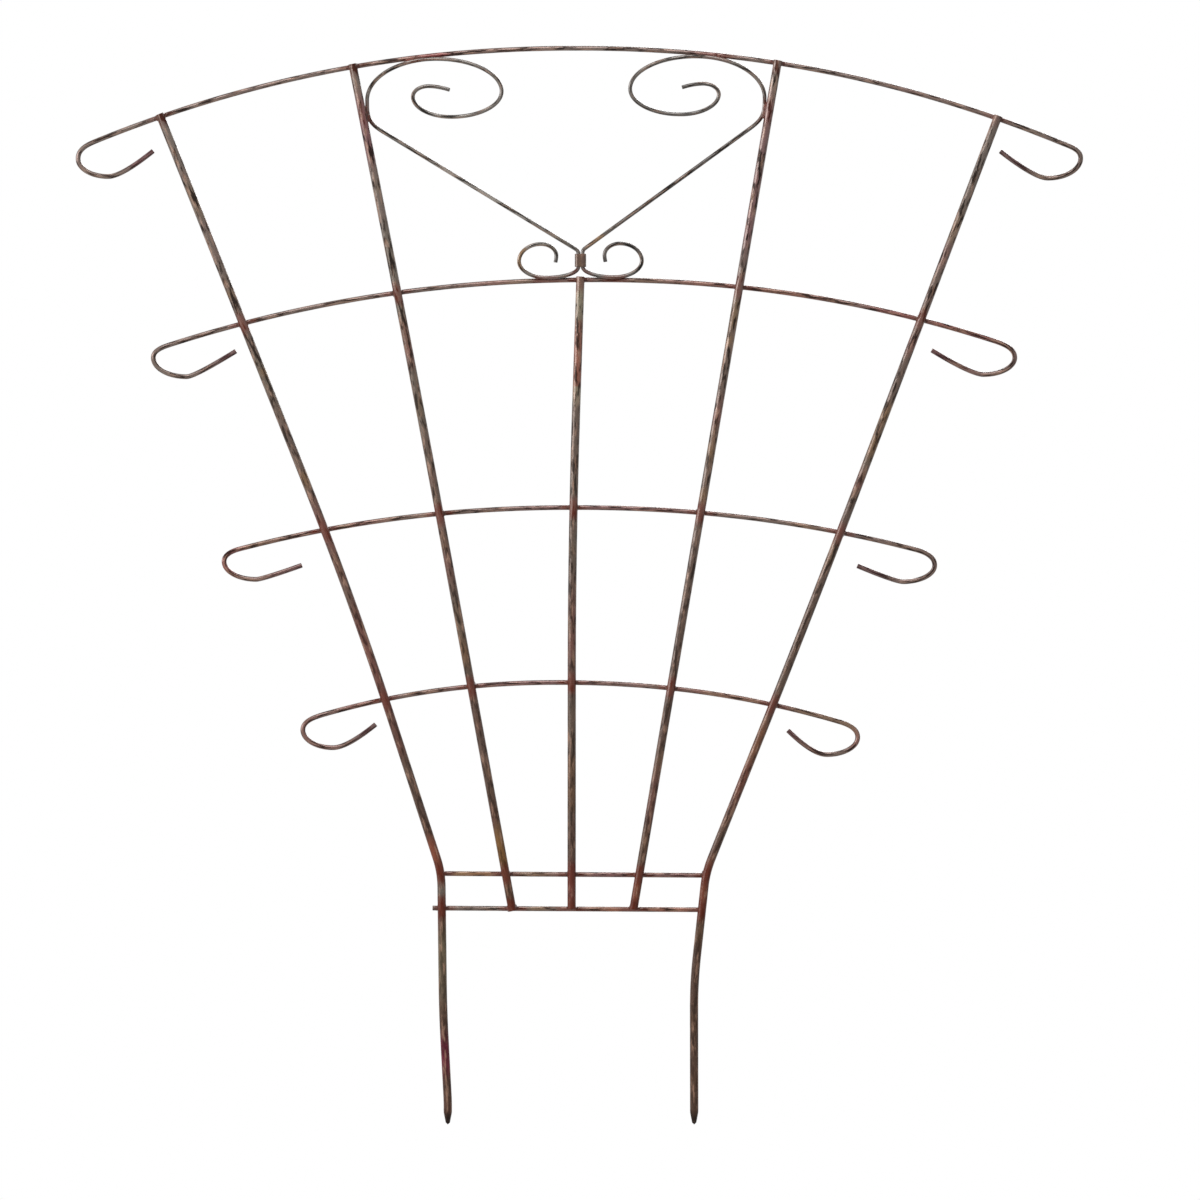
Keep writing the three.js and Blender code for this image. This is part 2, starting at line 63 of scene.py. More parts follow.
uprightNames = ["left_outer_upright", "left_inner_upright", "centre_upright", "right_inner_upright",
                "right_outer_upright"]
archNames = ["top_arch", "second_arch", "third_arch", "fourth_arch"]
crossbarNames = ["upper_crossbar", "lower_crossbar"]
scrollNames = ["left_scroll", "right_scroll"]
rodNames = uprightNames + archNames + crossbarNames + scrollNames
weldNames = sorted(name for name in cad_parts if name.startswith("weld_"))


# Node trees

def addNode(tree, kind, inputs=None, **settings):
    node = tree.nodes.new(kind)
    for name, value in settings.items():
        setattr(node, name, value)
    for socket, value in (inputs or {}).items():
        if isinstance(value, bpy.types.NodeSocket):
            tree.links.new(value, node.inputs[socket])
        else:
            node.inputs[socket].default_value = value
    return node


def calculated(tree, operation, *values):
    return addNode(tree, "ShaderNodeMath", dict(enumerate(values)), operation=operation).outputs[0]


def vectorOf(tree, operation, *values):
    return addNode(tree, "ShaderNodeVectorMath", dict(enumerate(values)), operation=operation).outputs[0]


def attributeOf(tree, name):
    return addNode(tree, "ShaderNodeAttribute", attribute_name=name).outputs


def ranged(tree, value, low, high, toLow=0.0, toHigh=1.0):
    inputs = {"Value": value, "From Min": low, "From Max": high, "To Min": toLow, "To Max": toHigh}
    return addNode(tree, "ShaderNodeMapRange", inputs, interpolation_type="SMOOTHSTEP").outputs[0]


def blended(tree, factor, first, second):
    node = addNode(tree, "ShaderNodeMix", data_type="RGBA", clamp_factor=True)
    for index, value in ((0, factor), (6, first), (7, second)):
        if isinstance(value, bpy.types.NodeSocket):
            tree.links.new(value, node.inputs[index])
        else:
            node.inputs[index].default_value = value
    return node.outputs[2]


def noiseOf(tree, place, scale, detail, roughness=0.5, distortion=0.0):
    return addNode(tree, "ShaderNodeTexNoise", {
        "Vector": place, "Scale": scale, "Detail": detail, "Roughness": roughness, "Distortion": distortion,
    }).outputs[0]


def patchesOf(tree, texture, limits, share):
    # nothing below the first limit of a texture, the whole share above the second
    return calculated(tree, "MULTIPLY", ranged(tree, texture, *limits), share)


def colourOf(code):
    # a web colour as linear light
    parts = [int(code[start:start + 2], 16) / 255 for start in (1, 3, 5)]
    return [part / 12.92 if part <= 0.04045 else ((part + 0.055) / 1.055) ** 2.4 for part in parts] + [1.0]


# Coats: one brown finish for each kind of piece, with its own tones

coats = {
    "upright": {
        "base": "#4a3a30", "warm": "#622f27", "cool": "#474033", "gold": "#604626", "deep": "#150e0b",
        "patchScale": 7.0, "seed": 0.0, "roughness": 0.28, "specular": 0.95, "specularTint": "#ffeee6",
    },
    "arch": {
        "base": "#554842", "warm": "#6a3c36", "cool": "#504841", "gold": "#5f4c39", "deep": "#170e0c",
        "patchScale": 6.0, "seed": 11.0, "roughness": 0.24, "specular": 1.0, "specularTint": "#ffded6",
        "endReach": 0.06, "endColour": "#3c2529",
    },
    "crossbar": {
        "base": "#5a4840", "warm": "#683d36", "cool": "#534c41", "gold": "#685238", "deep": "#170e0c",
        "patchScale": 8.0, "seed": 22.0, "roughness": 0.24, "specular": 1.0, "specularTint": "#ffe4d8",
        "endReach": 0.008, "endColour": "#2b1c18",
    },
    "scroll": {
        "base": "#433d38", "warm": "#50392b", "cool": "#3d3d3a", "gold": "#534531", "deep": "#0e0c0b",
        "patchScale": 10.0, "seed": 33.0, "roughness": 0.22, "specular": 1.0, "specularTint": "#fbf6f2",
        "endReach": 0.02, "endColour": "#292523",
    },
    "collar": {
        "base": "#3e2a21", "warm": "#5f4436", "cool": "#312520", "gold": "#4a3522", "deep": "#1a110e",
        "patchScale": 55.0, "roughness": 0.3, "specular": 0.8, "specularTint": "#ffeadd",
    },
    "weld": {
        "base": "#41180f", "warm": "#5a2014", "cool": "#331a13", "gold": "#432314", "deep": "#1c0c09",
        "patchScale": 110.0, "roughness": 0.42, "specular": 0.5, "specularTint": "#ffe0d8",
    },
}
rodCoats = ["upright", "arch", "crossbar", "scroll"]

# The limits are those between which a noise turns from nothing to its full share
drifts = {
    # each tone, how much finer its patches are than the coat's, and how far off it lies in the noise
    "tones": (("warm", 1.0, 0.0), ("cool", 1.4, 3.1), ("gold", 2.3, 6.7)),
    "awayShares": (1.0, 0.6, 0.3), "limits": (0.5, 0.66),
}
mottling = {
    "scale": 75.0, "limits": (0.42, 0.72), "share": 0.4,
    "speckScale": 620.0, "speckLimits": (0.52, 0.74), "speckShare": 0.1, "speckColour": "#94735f",
    "roughLimits": (0.3, 0.75), "smoother": 0.05, "rougher": 0.1,
}
grain = {"scale": 1500.0, "height": 0.00002, "dimpleScale": 330.0, "dimpleHeight": 0.0001}
tinting = {"raggedness": 0.5, "fullFrom": 0.6}
streaks = {
    "across": 1.4, "along": 55.0, "limits": (0.485, 0.595), "share": 0.92, "matt": 0.93,
    "rubAway": (7.3, 4.1, 2.9), "rubScale": 0.8, "rubLimits": (0.52, 0.66), "rubShare": 0.55,
    "rubColour": "#987866", "meanShineShare": 0.6,
}
scorch = {"colour": "#4f1c0e", "fullWithin": 0.0155, "reach": 0.0245, "share": 0.88, "raggedness": 0.01}
darkEnds = {"share": 0.8}
# painted sheen: the rods grey towards the top as a neutral highlight would, and the scorch fades there
paintedTopSheen = {"greyFrom": 0.82, "greyTo": 1.12, "greyColour": "#544e48", "greyShare": 0.62, "scorchLeft": 0.45}
# painted shade lower down the uprights, with less specular and fainter streaks there; then the blackened
# stake points and the soil on the legs
ground = {
    "shadeAndDullBelow": 1.1, "paintedShadeMost": 0.85, "paintedShadeColour": "#4a362d", "sheenLeast": 0.16, "streakLeast": 0.45,
    "blackBelow": 0.0112, "blackTo": 0.0252, "blackShare": 0.92, "blackColour": "#191210",
    "soilScale": 130.0, "soilLimits": (0.56, 0.7), "soilMostBelow": 0.03, "soilTo": 0.16,
    "soilShare": 0.45, "soilColour": "#564c41", "soilRougher": 0.3, "raggedness": 0.01,
}


def withDrifts(tree, place, coat):
    # broad drifts between the brown, a redder, a more olive and a more golden tone
    colour = colourOf(coat["base"])
    for tone, finer, away in drifts["tones"]:
        shifted = vectorOf(tree, "ADD", place, [away * share for share in drifts["awayShares"]])
        drift = noiseOf(tree, shifted, coat["patchScale"] * finer, detail=2.0, distortion=0.5)
        colour = blended(tree, ranged(tree, drift, *drifts["limits"]), colour, colourOf(coat[tone]))
    return colour


def paintedShadeAndDullerBelow(tree, up, colour, specular):
    # painted shade: the colour deepens towards the ground, where the light falls off, and the specular level
    # drops there as well
    shadedShare = ranged(tree, up, 0.0, ground["shadeAndDullBelow"], ground["paintedShadeMost"], 0.0)
    colour = blended(tree, shadedShare, colour, colourOf(ground["paintedShadeColour"]))
    sheen = ranged(tree, up, 0.0, ground["shadeAndDullBelow"], ground["sheenLeast"], 1.0)
    return colour, calculated(tree, "MULTIPLY", specular, sheen)


def paintedSheenAbove(tree, up, colour):
    # painted sheen: greyer and lighter towards the top, standing in for the neutral highlight that falls
    # there
    sheenShare = ranged(tree, up, paintedTopSheen["greyFrom"], paintedTopSheen["greyTo"], 0.0, paintedTopSheen["greyShare"])
    return blended(tree, sheenShare, colour, colourOf(paintedTopSheen["greyColour"]))


def withTints(tree, mottle, colour):
    # the tints that addTints laid down, with ragged edges
    tint = attributeOf(tree, "tint")
    swing = tinting["raggedness"]
    wobble = calculated(tree, "MULTIPLY_ADD", mottle, swing, -swing / 2)
    ragged = calculated(tree, "ADD", tint["Alpha"], wobble)
    tinted = calculated(tree, "MULTIPLY", tint["Alpha"], ranged(tree, ragged, 0.0, tinting["fullFrom"]))
    return blended(tree, tinted, colour, tint["Color"])


def withMottling(tree, place, mottle, coat, colour):
    # dark mottling of the coat, then fine specks in it
    mottled = patchesOf(tree, mottle, mottling["limits"], mottling["share"])
    colour = blended(tree, mottled, colour, colourOf(coat["deep"]))
    speck = noiseOf(tree, place, mottling["speckScale"], detail=3.0, roughness=0.7)
    specked = patchesOf(tree, speck, mottling["speckLimits"], mottling["speckShare"])
    return blended(tree, specked, colour, colourOf(mottling["speckColour"]))


def unrolledPlace(tree, coat):
    # a place on a rod's skin with the length of the rod pressed together, so that a noise there is streaky
    across = vectorOf(tree, "MULTIPLY", attributeOf(tree, "aroundRod")["Vector"], [streaks["across"]] * 3)
    along = attributeOf(tree, "alongRod")["Fac"]
    lengthwise = calculated(tree, "MULTIPLY_ADD", along, streaks["along"], coat["seed"])
    return vectorOf(tree, "ADD", across, addNode(tree, "ShaderNodeCombineXYZ", {2: lengthwise}).outputs[0])


def withStreaks(tree, name, up, colour, specular):
    # dark matt streaks and rubbed light ones along a rod, the dark ones fainter near the ground
    place = unrolledPlace(tree, coats[name])
    streak = noiseOf(tree, place, 1.0, detail=3.0, roughness=0.55)
    streaked = patchesOf(tree, streak, streaks["limits"], streaks["share"])
    if name == "upright":
        fainter = ranged(tree, up, 0.0, ground["shadeAndDullBelow"], ground["streakLeast"], 1.0)
        streaked = calculated(tree, "MULTIPLY", streaked, fainter)
    colour = blended(tree, streaked, colour, colourOf(coats[name]["deep"]))
    shining = calculated(tree, "MULTIPLY_ADD", streaked, -streaks["matt"], 1.0)
    rub = noiseOf(tree, vectorOf(tree, "ADD", place, streaks["rubAway"]), streaks["rubScale"], detail=4.0,
                  roughness=0.6)
    rubbed = patchesOf(tree, rub, streaks["rubLimits"], streaks["rubShare"])
    colour = blended(tree, rubbed, colour, colourOf(streaks["rubColour"]))
    return colour, calculated(tree, "MULTIPLY", specular, shining)


def withScorch(tree, up, mottle, colour):
    # scorched dark red round each weld, less so at the top, where the painted sheen greys it
    wobble = calculated(tree, "MULTIPLY", mottle, scorch["raggedness"])
    ragged = calculated(tree, "ADD", attributeOf(tree, "weldDistance")["Fac"], wobble)
    scorched = ranged(tree, ragged, scorch["fullWithin"], scorch["reach"], scorch["share"], 0.0)
    lasting = ranged(tree, up, paintedTopSheen["greyFrom"], paintedTopSheen["greyTo"], 1.0, paintedTopSheen["scorchLeft"])
    scorched = calculated(tree, "MULTIPLY", scorched, lasting)
    return blended(tree, scorched, colour, colourOf(scorch["colour"]))


def withDarkEnds(tree, coat, colour):
    fromEnd = attributeOf(tree, "endDistance")["Fac"]
    darkened = ranged(tree, fromEnd, 0.0, coat["endReach"], darkEnds["share"], 0.0)
    return blended(tree, darkened, colour, colourOf(coat["endColour"]))


def withStakesAndSoil(tree, place, up, colour, roughness):
    # the points are nearly black, and dried soil lies on the legs above them
    soil = noiseOf(tree, place, ground["soilScale"], detail=5.0, roughness=0.7)
    height = calculated(tree, "ADD", up, calculated(tree, "MULTIPLY", soil, ground["raggedness"]))
    blackened = ranged(tree, height, ground["blackBelow"], ground["blackTo"], ground["blackShare"], 0.0)
    colour = blended(tree, blackened, colour, colourOf(ground["blackColour"]))
    thinner = ranged(tree, up, ground["soilMostBelow"], ground["soilTo"], ground["soilShare"], 0.0)
    soiled = patchesOf(tree, soil, ground["soilLimits"], thinner)
    colour = blended(tree, soiled, colour, colourOf(ground["soilColour"]))
    rougher = calculated(tree, "MULTIPLY", soiled, ground["soilRougher"])
    return colour, calculated(tree, "ADD", roughness, rougher)


def bumpsOf(tree, place):
    # a fine grain over shallow dimples
    fine = noiseOf(tree, place, grain["scale"], detail=2.0)
    dimple = noiseOf(tree, place, grain["dimpleScale"], detail=2.0, roughness=0.4)
    inputs = {"Height": fine, "Strength": 1.0, "Distance": grain["height"]}
    normal = addNode(tree, "ShaderNodeBump", inputs).outputs[0]
    inputs = {"Height": dimple, "Strength": 1.0, "Distance": grain["dimpleHeight"], "Normal": normal}
    return addNode(tree, "ShaderNodeBump", inputs).outputs[0]


def coatMaterial(name):
    coat = coats[name]
    material = bpy.data.materials.new(f"{name}Coat")
    material.use_nodes = True
    tree = material.node_tree
    place = addNode(tree, "ShaderNodeTexCoord").outputs["Object"]
    up = addNode(tree, "ShaderNodeSeparateXYZ", {0: place}).outputs[2]
    mottle = noiseOf(tree, place, mottling["scale"], detail=5.0, roughness=0.62, distortion=0.3)
    roughness = ranged(tree, mottle, *mottling["roughLimits"], coat["roughness"] - mottling["smoother"],
                       coat["roughness"] + mottling["rougher"])
    specular = coat["specular"]

    colour = withDrifts(tree, place, coat)
    if name == "upright":
        # painted shade: deeper colour lower down the uprights, with less specular there
        colour, specular = paintedShadeAndDullerBelow(tree, up, colour, specular)
    if name in rodCoats:
        # painted sheen greying the tops of the rods
        colour = paintedSheenAbove(tree, up, colour)
        colour = withTints(tree, mottle, colour)
    colour = withMottling(tree, place, mottle, coat, colour)
    if name in rodCoats:
        colour, specular = withStreaks(tree, name, up, colour, specular)
        colour = withScorch(tree, up, mottle, colour)
    if "endReach" in coat:
        colour = withDarkEnds(tree, coat, colour)
    if name == "upright":
        colour, roughness = withStakesAndSoil(tree, place, up, colour, roughness)

    sockets = tree.nodes["Principled BSDF"].inputs
    tree.links.new(colour, sockets["Base Color"])
    tree.links.new(roughness, sockets["Roughness"])
    tree.links.new(bumpsOf(tree, place), sockets["Normal"])
    sockets["Specular IOR Level"].default_value = coat["specular"]
    sockets["Specular Tint"].default_value = colourOf(coat["specularTint"])
    if name in rodCoats:
        # an export keeps only the socket's own value, so it holds the mean of the linked one
        sockets["Specular IOR Level"].default_value = coat["specular"] * streaks["meanShineShare"]
        tree.links.new(specular, sockets["Specular IOR Level"])
    return material


materials = {name: coatMaterial(name) for name in coats}
print("Coats mixed:", ", ".join(materials))


# Rails: the centre line of a rod, read from the rings of corners in its node

railReading = {
    "mergeDistance": 0.00002, "flatCosine": 0.99999, "roundness": 1.03, "leastCorners": 6,
    "lineStep": 0.003,
}


def cutEnds(mesh):
    # the corners of each flat and round face: the cut ends of a faceted rod, in an order that can change
    # from run to run
    ends = []
    unseen = set(mesh.faces)
    while unseen:
        group = [unseen.pop()]
        for face in group:
            for other in (near for edge in face.edges for near in edge.link_faces):
                if other in unseen and other.normal.dot(face.normal) > railReading["flatCosine"]:
                    unseen.remove(other)
                    group.append(other)
        corners = {corner for face in group for corner in face.verts}
        middle = sum((corner.co for corner in corners), Vector()) / len(corners)
        reach = [(corner.co - middle).length for corner in corners]
        isRound = max(reach) < railReading["roundness"] * min(reach)
        if isRound and len(corners) >= railReading["leastCorners"]:
            ends.append(corners)
    return ends


def railOf(nodeName):
    # from one cut end on, ring by ring: the middle, the direction and the radius of each
    mesh = bmesh.new()
    mesh.from_mesh(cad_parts[nodeName].data)
    bmesh.ops.remove_doubles(mesh, verts=mesh.verts, dist=railReading["mergeDistance"])
    mesh.normal_update()
    ring = cutEnds(mesh)[0]
    seen = set()
    rail = []
    while ring:
        places = np.array([corner.co for corner in ring])
        centre = places.mean(axis=0)
        along = Vector(np.linalg.svd(places - centre)[2][-1])
        radius = float(np.linalg.norm(places - centre, axis=1).mean())
        rail.append({"at": Vector(centre), "along": along, "radius": radius})
        seen |= ring
        ring = {edge.other_vert(corner) for corner in ring for edge in corner.link_edges} - seen
    mesh.free()
    for index, station in enumerate(rail):
        travel = rail[min(index + 1, len(rail) - 1)]["at"] - rail[max(index - 1, 0)]["at"]
        if station["along"].dot(travel) < 0:
            station["along"].negate()
    return rail


def handlesOf(rail, index):
    # the two handles of a station, each a third of the way to its neighbour
    station = rail[index]
    back = (station["at"] - rail[max(index - 1, 0)]["at"]).length / 3
    ahead = (rail[min(index + 1, len(rail) - 1)]["at"] - station["at"]).length / 3
    return station["at"] - station["along"] * back, station["at"] + station["along"] * ahead


def smoothLine(rail):
    # places and radii close together along the smooth line through a rail
    places = []
    radii = []
    for index in range(len(rail) - 1):
        start, end = rail[index], rail[index + 1]
        leaving, arriving = handlesOf(rail, index)[1], handlesOf(rail, index + 1)[0]
        corners = np.array([start["at"], leaving, arriving, end["at"]])
        count = max(1, math.ceil((end["at"] - start["at"]).length / railReading["lineStep"]))
        share = np.arange(count)[:, None] / count
        weights = [(1 - share) ** 3, 3 * (1 - share) ** 2 * share, 3 * (1 - share) * share ** 2, share ** 3]
        places.append(sum(weight * corner for weight, corner in zip(weights, corners)))
        radii.append((1 - share[:, 0]) * start["radius"] + share[:, 0] * end["radius"])
    places.append(np.array([rail[-1]["at"]]))
    radii.append(np.array([rail[-1]["radius"]]))
    return {"places": np.concatenate(places), "radii": np.concatenate(radii)}


rails = {name: railOf(name) for name in rodNames}
lines = {name: smoothLine(rail) for name, rail in rails.items()}
print("Rails read:", {name: len(rail) for name, rail in rails.items()})


# What every piece needs

def linked(name, data):
    # a new object in the scene
    holder = bpy.data.objects.new(name, data)
    bpy.context.collection.objects.link(holder)
    return holder


def plainMesh(holder, name):
    # the mesh that an object's modifiers make, in place of the object
    graph = bpy.context.evaluated_depsgraph_get()
    evaluated = holder.evaluated_get(graph)
    mesh = bpy.data.meshes.new_from_object(evaluated, preserve_all_data_layers=True, depsgraph=graph)
    mesh.name = name
    holder.modifiers.clear()
    bpy.data.objects.remove(holder)
    return mesh


def cornersOf(mesh):
    places = np.empty(len(mesh.vertices) * 3, np.float32)
    mesh.vertices.foreach_get("co", places)
    return places.reshape(-1, 3)


def keepInside(mesh):
    # a skin is rounder than the model's, and its outermost points are held to the model's box
    held = np.clip(cornersOf(mesh), cadBox[0], cadBox[1]).astype(np.float32)
    mesh.vertices.foreach_set("co", held.ravel())
    mesh.update()


def addBevel(holder, name, width, segments, angle):
    bevel = holder.modifiers.new(name, "BEVEL")
    bevel.width = width
    bevel.segments = segments
    bevel.limit_method = "ANGLE"
    bevel.angle_limit = math.radians(angle)


def pieceFrom(mesh, name, node):
    piece = linked(name, mesh)
    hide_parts(node)
    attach(piece, "root")
    return piece


def middleOf(nodeName):
    low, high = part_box(nodeName)
    return (low + high) / 2


# Rods and wires, skinned along their rails

rodSkin = {
    "kinds": {
        "upright": {"names": uprightNames, "sides": 36, "step": 0.0022},
        "arch": {"names": archNames, "sides": 28, "step": 0.0018},
        "crossbar": {"names": crossbarNames, "sides": 28, "step": 0.0022},
        "scroll": {"names": scrollNames, "sides": 28, "step": 0.0011},
    },
    "waveHeight": 0.00007, "waveScale": 90.0, "waveMiddle": 0.6, "endBevel": 0.0006, "bevelSegments": 3,
    "bevelAngle": 50,
}


def evenLine(tree, given):
    # the rail at even steps, each told how far along the rod it lies and how far from an end
    line = addNode(tree, "GeometryNodeResampleCurve", {"Curve": given["Rail"], "Length": given["Step"]},
                   mode="LENGTH").outputs[0]
    length = addNode(tree, "GeometryNodeSplineParameter").outputs["Length"]
    whole = addNode(tree, "GeometryNodeSplineLength").outputs["Length"]
    toEnd = calculated(tree, "MINIMUM", length, calculated(tree, "SUBTRACT", whole, length))
    for name, value in (("alongRod", length), ("endDistance", toEnd)):
        inputs = {"Geometry": line, "Name": name, "Value": value}
        line = addNode(tree, "GeometryNodeStoreNamedAttribute", inputs).outputs[0]
    return line


def roundRing(tree, given):
    # the round section, each corner told where on the ring it lies
    inputs = {"Resolution": given["Sides"], "Radius": 1.0}
    ring = addNode(tree, "GeometryNodeCurvePrimitiveCircle", inputs).outputs[0]
    spot = addNode(tree, "GeometryNodeInputPosition").outputs[0]
    inputs = {"Geometry": ring, "Name": "aroundRod", "Value": spot}
    return addNode(tree, "GeometryNodeStoreNamedAttribute", inputs, data_type="FLOAT_VECTOR").outputs[0]


def slightWave(tree, given):
    # how far each corner is lifted or sunk, so that no rod is perfectly straight and smooth
    where = addNode(tree, "GeometryNodeInputPosition").outputs[0]
    inputs = {"Vector": where, "W": given["Seed"], "Scale": given["Wave Scale"], "Detail": 2.0}
    wave = addNode(tree, "ShaderNodeTexNoise", inputs, noise_dimensions="4D").outputs[0]
    raised = calculated(tree, "SUBTRACT", wave, rodSkin["waveMiddle"])
    swell = calculated(tree, "MULTIPLY", raised, given["Wave Height"])
    outwards = addNode(tree, "GeometryNodeInputNormal").outputs[0]
    inputs = {0: outwards, "Scale": swell}
    return addNode(tree, "ShaderNodeVectorMath", inputs, operation="SCALE").outputs[0]


def makeRodTree():
    tree = bpy.data.node_groups.new("rodSkin", "GeometryNodeTree")
    for name, kind in (("Rail", "Geometry"), ("Sides", "Int"), ("Step", "Float"), ("Wave Height", "Float"),
                       ("Wave Scale", "Float"), ("Seed", "Float"), ("Coat", "Material")):
        tree.interface.new_socket(name, in_out="INPUT", socket_type=f"NodeSocket{kind}")
    tree.interface.new_socket("Rod", in_out="OUTPUT", socket_type="NodeSocketGeometry")
    given = addNode(tree, "NodeGroupInput").outputs
    radius = addNode(tree, "GeometryNodeInputRadius").outputs[0]
    skin = addNode(tree, "GeometryNodeCurveToMesh", {
        "Curve": evenLine(tree, given), "Profile Curve": roundRing(tree, given), "Scale": radius,
        "Fill Caps": True,
    }).outputs[0]
    lift = slightWave(tree, given)
    skin = addNode(tree, "GeometryNodeSetPosition", {"Geometry": skin, "Offset": lift}).outputs[0]
    skin = addNode(tree, "GeometryNodeRealizeInstances", {"Geometry": skin}).outputs[0]
    coated = {"Geometry": skin, "Material": given["Coat"]}
    skin = addNode(tree, "GeometryNodeSetMaterial", coated).outputs[0]
    addNode(tree, "NodeGroupOutput", {"Rod": skin})
    return tree


rodTree = makeRodTree()


def railObject(name, rail):
    curve = bpy.data.curves.new(name, "CURVE")
    curve.dimensions = "3D"
    spline = curve.splines.new("BEZIER")
    spline.bezier_points.add(len(rail) - 1)
    for index, (point, station) in enumerate(zip(spline.bezier_points, rail)):
        point.handle_left_type = point.handle_right_type = "FREE"
        point.co = station["at"]
        point.handle_left, point.handle_right = handlesOf(rail, index)
        point.radius = station["radius"]
    return linked(name, curve)


def setInputs(modifier, values):
    identifiers = {item.name: item.identifier for item in modifier.node_group.interface.items_tree}
    for name, value in values.items():
        modifier[identifiers[name]] = value


# Tints that the coat has taken at certain places. A patch is a rod, a place across and up near it, how far
# the tint reaches from there, the tint and its strength. It has faded out at the reach times the fade share.
tints = {
    "red": "#6e1c1d", "rust": "#74361f", "maroon": "#5e2030", "olive": "#6f6a56", "gold": "#74501e",
    "plum": "#5d3036", "grey": "#55504a", "pale": "#7d7771", "dark": "#2b2420",
    "fadeShare": 1.5,
    "patches": [
        ("top_arch", -0.157, 1.212, 0.022, "red", 0.9), ("top_arch", 0.16, 1.212, 0.03, "red", 0.5),
        ("top_arch", -0.5, 1.11, 0.09, "grey", 0.6), ("top_arch", -0.48, 1.09, 0.03, "plum", 0.7),
        ("top_arch", 0.53, 1.1, 0.05, "grey", 0.4), ("second_arch", -0.43, 0.85, 0.06, "grey", 0.5),
        ("second_arch", 0.2, 0.96, 0.12, "rust", 0.5), ("second_arch", 0.39, 0.912, 0.06, "red", 0.7),
        ("third_arch", 0.05, 0.697, 0.12, "plum", 0.6), ("third_arch", -0.3, 0.64, 0.06, "rust", 0.4),
        ("third_arch", -0.387, 0.637, 0.028, "red", 0.6), ("fourth_arch", -0.05, 0.499, 0.12, "plum", 0.6),
        ("fourth_arch", 0.2, 0.47, 0.06, "rust", 0.4),
        ("left_outer_upright", -0.15, 0.302, 0.03, "rust", 0.7),
        ("left_outer_upright", -0.144, 0.268, 0.018, "grey", 0.8),
        ("left_outer_upright", -0.143, 0.18, 0.05, "olive", 0.5),
        ("left_outer_upright", -0.141, 0.078, 0.024, "maroon", 1.0),
        ("left_inner_upright", -0.232, 1.125, 0.045, "maroon", 0.7),
        ("left_inner_upright", -0.078, 0.305, 0.032, "gold", 0.6),
        ("centre_upright", 0.012, 0.935, 0.026, "olive", 0.8),
        ("centre_upright", 0.008, 0.866, 0.042, "rust", 0.8),
        ("centre_upright", 0.006, 0.824, 0.014, "olive", 0.7),
        ("centre_upright", 0.003, 0.27, 0.03, "red", 0.5),
        ("right_inner_upright", 0.19, 1.13, 0.05, "maroon", 0.5),
        ("right_inner_upright", 0.2, 1.04, 0.06, "plum", 0.7),
        ("right_inner_upright", 0.075, 0.262, 0.02, "rust", 0.7),
        ("right_outer_upright", 0.152, 0.27, 0.035, "rust", 0.7),
        ("right_outer_upright", 0.2, 0.42, 0.06, "rust", 0.4),
        ("upper_crossbar", -0.115, 0.283, 0.04, "gold", 0.7),
        ("upper_crossbar", 0.07, 0.282, 0.1, "plum", 0.8),
        ("lower_crossbar", -0.11, 0.244, 0.04, "grey", 0.8),
        ("lower_crossbar", 0.09, 0.243, 0.08, "rust", 0.8),
        ("left_scroll", -0.059, 0.979, 0.014, "gold", 0.8),
        ("left_scroll", -0.1, 1.055, 0.085, "pale", 0.8),
        ("right_scroll", 0.03, 0.996, 0.012, "gold", 0.9),
        ("right_scroll", 0.12, 1.06, 0.1, "dark", 0.95),
    ],
}
weldSpots = [middleOf(name) for name in weldNames]


def addTints(mesh, name):
    # the strongest tint at each corner, its strength as alpha
    places = cornersOf(mesh)
    line = lines[name]["places"]
    shade = np.zeros((len(places), 4), np.float32)
    for rod, across, up, reach, colour, strength in tints["patches"]:
        if rod != name:
            continue
        centre = line[np.argmin(np.hypot(line[:, 0] - across, line[:, 2] - up))]
        away = np.linalg.norm(places - centre, axis=1)
        weight = strength * np.clip(tints["fadeShare"] - away / reach, 0, 1)
        stronger = weight > shade[:, 3]
        shade[stronger, :3] = colourOf(tints[colour])[:3]
        shade[stronger, 3] = weight[stronger]
    layer = mesh.attributes.new("tint", "FLOAT_COLOR", "POINT")
    layer.data.foreach_set("color", shade.ravel())


def addWeldDistance(mesh):
    places = cornersOf(mesh)
    away = [np.linalg.norm(places - np.array(spot), axis=1) for spot in weldSpots]
    layer = mesh.attributes.new("weldDistance", "FLOAT", "POINT")
    layer.data.foreach_set("value", np.min(away, axis=0).astype(np.float32))


def makeRod(name, slot, sides, step):
    holder = railObject(f"{name}_rail", rails[name])
    modifier = holder.modifiers.new("skin", "NODES")
    modifier.node_group = rodTree
    setInputs(modifier, {
        "Sides": sides, "Step": step, "Wave Height": rodSkin["waveHeight"],
        "Wave Scale": rodSkin["waveScale"], "Seed": float(rodNames.index(name)), "Coat": materials[slot],
    })
    mesh = plainMesh(holder, f"{name}_skin")
    for polygon in mesh.polygons:
        polygon.use_smooth = len(polygon.vertices) <= 4  # all but the cut ends, which have many corners
    keepInside(mesh)
    addTints(mesh, name)
    addWeldDistance(mesh)
    piece = pieceFrom(mesh, f"{name}_rod", name)
    addBevel(piece, "cutEnds", rodSkin["endBevel"], rodSkin["bevelSegments"], rodSkin["bevelAngle"])


for slot, kind in rodSkin["kinds"].items():
    for name in kind["names"]:
        makeRod(name, slot, kind["sides"], kind["step"])
print("Rods skinned:", len(rodNames))


# Weld beads: a fillet that the two rods melt into, lumpy and rippled, faded out away from the joint

